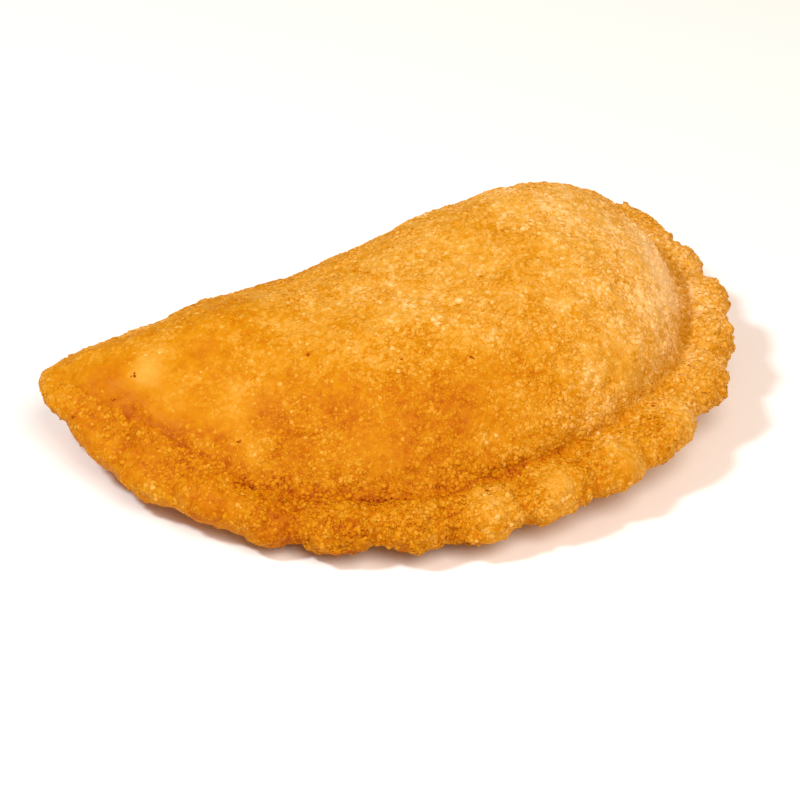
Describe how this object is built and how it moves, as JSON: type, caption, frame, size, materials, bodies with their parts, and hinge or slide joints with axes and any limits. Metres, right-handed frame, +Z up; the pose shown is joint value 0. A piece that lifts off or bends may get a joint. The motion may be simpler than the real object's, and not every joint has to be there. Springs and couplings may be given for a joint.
{
  "type": "rissole",
  "caption": "Half-moon breaded and fried dough turnover with a crimped, scalloped rim, a domed filled middle and a flat resting spot.",
  "frame": {"origin": "on the table, under the middle of the box around the food", "axes": "+X along the fold from the left tip to the right tip, -Y from the fold to the crimped rim, +Z up"},
  "size_m": [0.1018, 0.059, 0.0256],
  "materials": {
    "crust": null
  },
  "bodies": {
    "root": {"rissole": "crust"}
  },
  "joints": []
}
